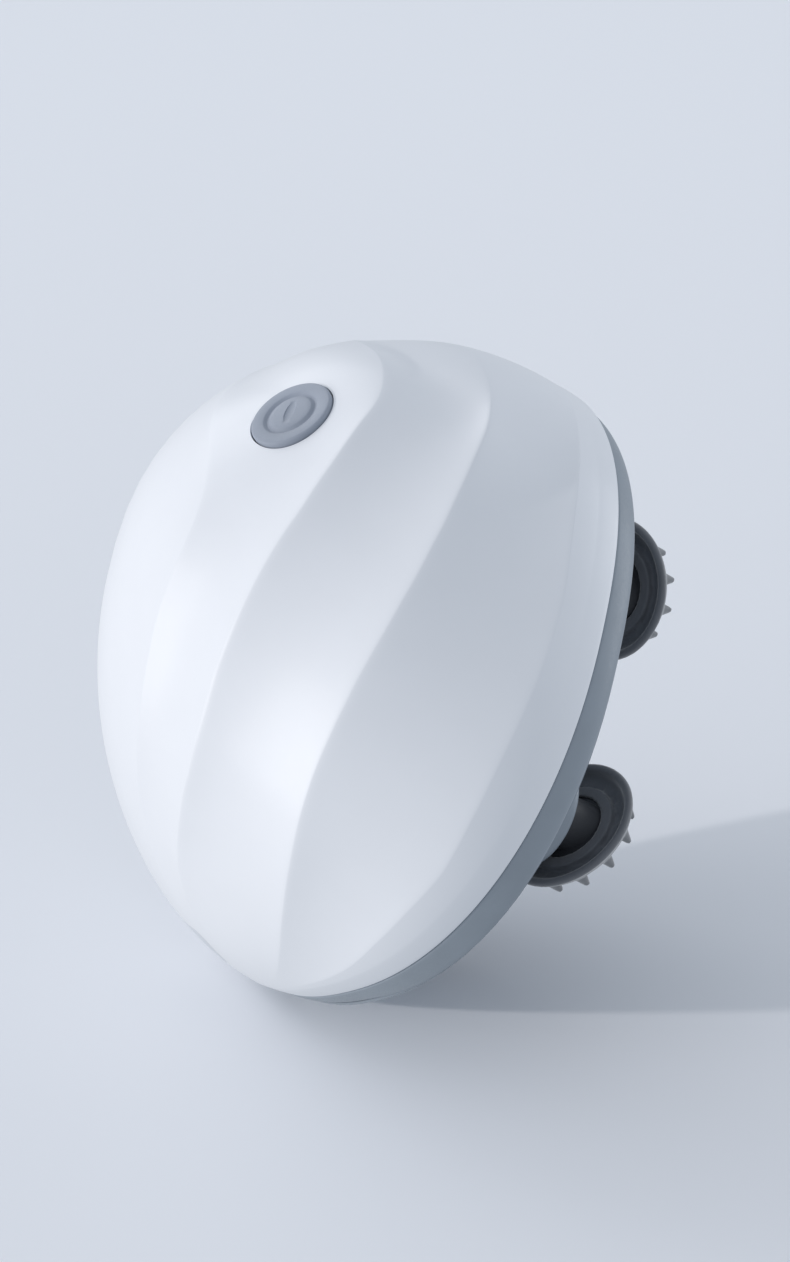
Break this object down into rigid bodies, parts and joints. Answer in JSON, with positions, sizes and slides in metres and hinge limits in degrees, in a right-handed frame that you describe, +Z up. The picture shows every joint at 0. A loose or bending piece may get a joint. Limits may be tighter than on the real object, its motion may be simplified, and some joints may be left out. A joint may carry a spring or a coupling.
{
  "type": "electric pet massager",
  "caption": "Palm-held electric pet massager: a fluted white dome with a power button over a grey base, and silicone kneading heads turned together by a gear train.",
  "frame": {"origin": "middle of the base outline, on the plane of the lowest finger tips, which it stands on", "axes": "+Z up through the dome, +Y towards the end that the power button leans to, +X towards the side that the ridges sweep over"},
  "size_m": [0.1088, 0.1027, 0.0791],
  "materials": {
    "shell_white": "satin gloss moulded shell",
    "base_grey": "blue-grey satin plastic",
    "gasket_black": "soft gasket",
    "button_rubber": "blue-grey soft touch rubber",
    "port_rubber": "soft plug, pale grey",
    "black_plastic": "moulded, matte",
    "board": "green solder mask",
    "nickel": "nickel plated",
    "bracket_steel": "zinc plated sheet",
    "motor_steel": "drawn can",
    "shaft_steel": "ground",
    "screw_steel": "zinc plated",
    "pinion_brass": "machined",
    "gear_nylon": "natural nylon",
    "cell_wrap": "plain shrink wrap",
    "head_silicone": "dark grey silicone",
    "bushing_bronze": "sintered bronze"
  },
  "bodies": {
    "housing": {"top_shell": "shell_white", "base_ring": "base_grey", "bottom_cover": "base_grey", "seal_ring": "gasket_black", "housing_screws": "screw_steel", "button_switch": "black_plastic", "circuit_board": "board", "board_screws": "screw_steel", "charge_board": "board", "charge_socket": "nickel", "chassis_plate": "black_plastic", "chassis_screws": "screw_steel", "motor_bracket": "bracket_steel", "bracket_screws": "screw_steel", "motor_case": "motor_steel", "motor_end_cap": "black_plastic", "centre_pin": "shaft_steel", "battery_cell": "cell_wrap", "battery_cradle": "black_plastic", "head_bushing_1": "bushing_bronze", "shaft_seal_1": "gasket_black", "head_bushing_2": "bushing_bronze", "shaft_seal_2": "gasket_black", "head_bushing_3": "bushing_bronze", "shaft_seal_3": "gasket_black", "head_bushing_4": "bushing_bronze", "shaft_seal_4": "gasket_black"},
    "head_1": {"head_shaft_1": "shaft_steel", "head_gear_1": "gear_nylon", "head_hub_1": "black_plastic", "head_pad_1": "head_silicone"},
    "head_2": {"head_shaft_2": "shaft_steel", "head_gear_2": "gear_nylon", "head_hub_2": "black_plastic", "head_pad_2": "head_silicone"},
    "head_3": {"head_shaft_3": "shaft_steel", "head_gear_3": "gear_nylon", "head_hub_3": "black_plastic", "head_pad_3": "head_silicone"},
    "head_4": {"head_shaft_4": "shaft_steel", "head_gear_4": "gear_nylon", "head_hub_4": "black_plastic", "head_pad_4": "head_silicone"},
    "centre_gear": {"centre_gear": "gear_nylon"},
    "reduction_gear": {"reduction_gear": "gear_nylon"},
    "rotor": {"motor_shaft": "shaft_steel", "motor_pinion": "pinion_brass"},
    "button": {"power_button": "button_rubber"},
    "port_plug": {"charge_plug": "port_rubber"}
  },
  "joints": [
    {"name": "head_spin_1", "type": "hinge", "parent": "housing", "child": "head_1", "pos_m": [0.02596, -0.01049, 0], "axis": [0, 0, 1], "continuous": true},
    {"name": "head_spin_2", "type": "hinge", "parent": "housing", "child": "head_2", "pos_m": [0.01049, 0.02596, 0], "axis": [0, 0, 1], "continuous": true},
    {"name": "head_spin_3", "type": "hinge", "parent": "housing", "child": "head_3", "pos_m": [-0.02596, 0.01049, 0], "axis": [0, 0, 1], "continuous": true},
    {"name": "head_spin_4", "type": "hinge", "parent": "housing", "child": "head_4", "pos_m": [-0.01049, -0.02596, 0], "axis": [0, 0, 1], "continuous": true},
    {"name": "centre_spin", "type": "hinge", "parent": "housing", "child": "centre_gear", "pos_m": [0, 0, 0.0275], "axis": [0, 0, 1], "continuous": true},
    {"name": "reduction_spin", "type": "hinge", "parent": "housing", "child": "reduction_gear", "pos_m": [0.022, 0, 0.0275], "axis": [0, 0, 1], "continuous": true},
    {"name": "motor_spin", "type": "hinge", "parent": "housing", "child": "rotor", "pos_m": [-0.002, 0, 0.0275], "axis": [0, 0, 1], "continuous": true},
    {"name": "button_press", "type": "slide", "parent": "housing", "child": "button", "axis": [-0.29, -0.4436, -0.848], "range_m": [0, 0.0008], "stiffness_N_per_m": 600, "springref_m": -0.0004},
    {"name": "port_plug_pull", "type": "slide", "parent": "housing", "child": "port_plug", "axis": [-0.2419, -0.9703, 0], "range_m": [0, 0.006]}
  ],
  "couplings": [
    {"joint": "head_spin_2", "follows": "head_spin_1", "ratio": 1},
    {"joint": "head_spin_3", "follows": "head_spin_1", "ratio": 1},
    {"joint": "head_spin_4", "follows": "head_spin_1", "ratio": 1},
    {"joint": "centre_spin", "follows": "head_spin_1", "ratio": -0.75},
    {"joint": "reduction_spin", "follows": "head_spin_1", "ratio": 2},
    {"joint": "motor_spin", "follows": "head_spin_1", "ratio": -10}
  ]
}
